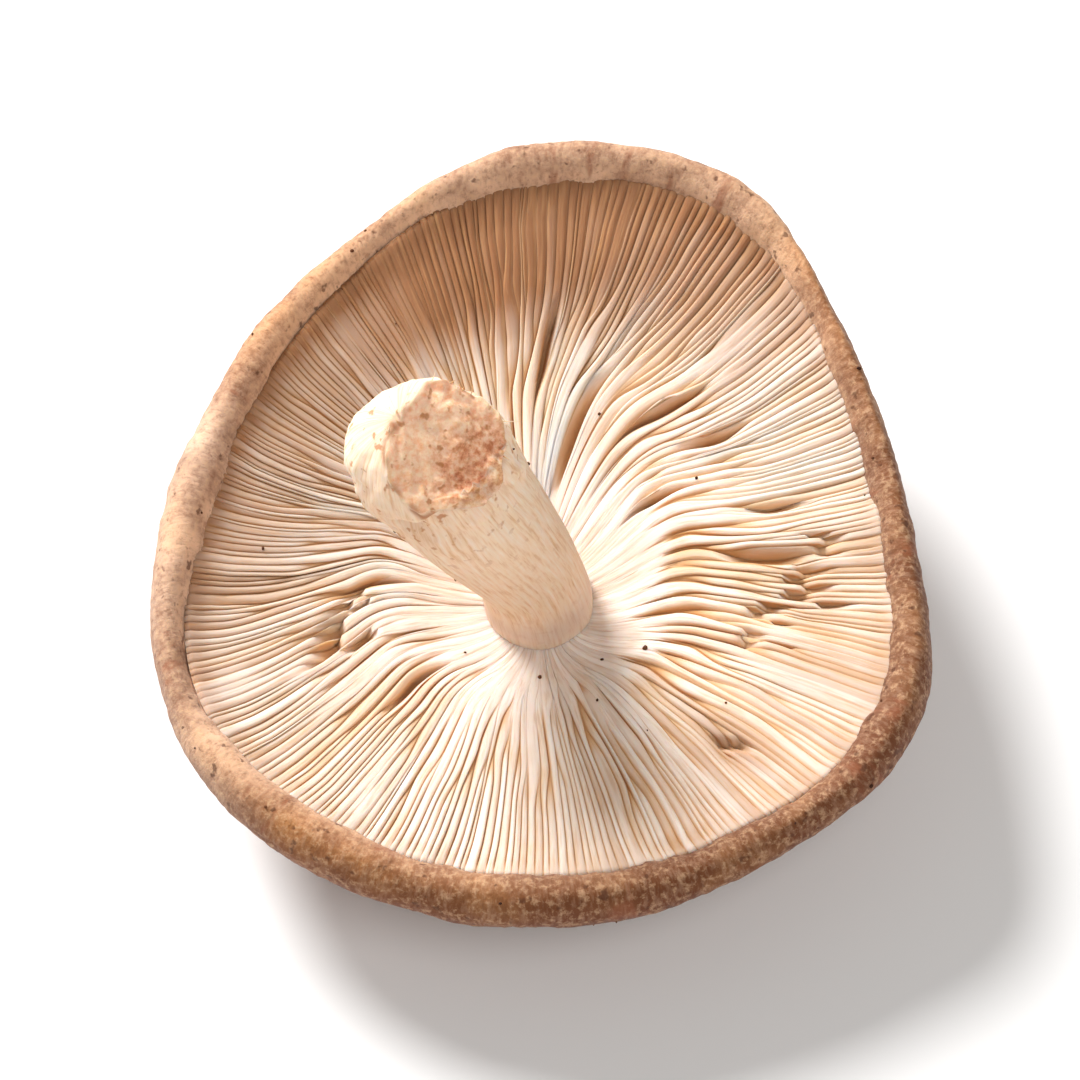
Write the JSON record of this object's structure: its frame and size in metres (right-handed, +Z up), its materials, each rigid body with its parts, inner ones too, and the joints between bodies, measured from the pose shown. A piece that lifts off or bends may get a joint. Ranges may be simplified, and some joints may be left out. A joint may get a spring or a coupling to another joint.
{
  "type": "shiitake mushroom",
  "caption": "Fresh shiitake mushroom lying on its crown: egg-shaped brown cap with an inrolled margin, pale radial gills and a leaning club-shaped stem torn off at its end.",
  "frame": {"origin": "on the surface that the mushroom lies on, under the middle of its bounding box", "axes": "+Z up, the way the gills and the stem face; -Y towards the viewer, the way the cap leans by 7 degrees; the stem leans to -X; +Y is the longest extent and +Z the shortest"},
  "size_m": [0.0628, 0.0684, 0.0397],
  "materials": {
    "gill_flesh": "matte cream gills, soft and slightly translucent",
    "cap_skin": "matte brown felted skin with paler flecks",
    "stem_flesh": "matte cream fibrous stem"
  },
  "bodies": {
    "root": {"mushroom": "gill_flesh"}
  },
  "joints": []
}
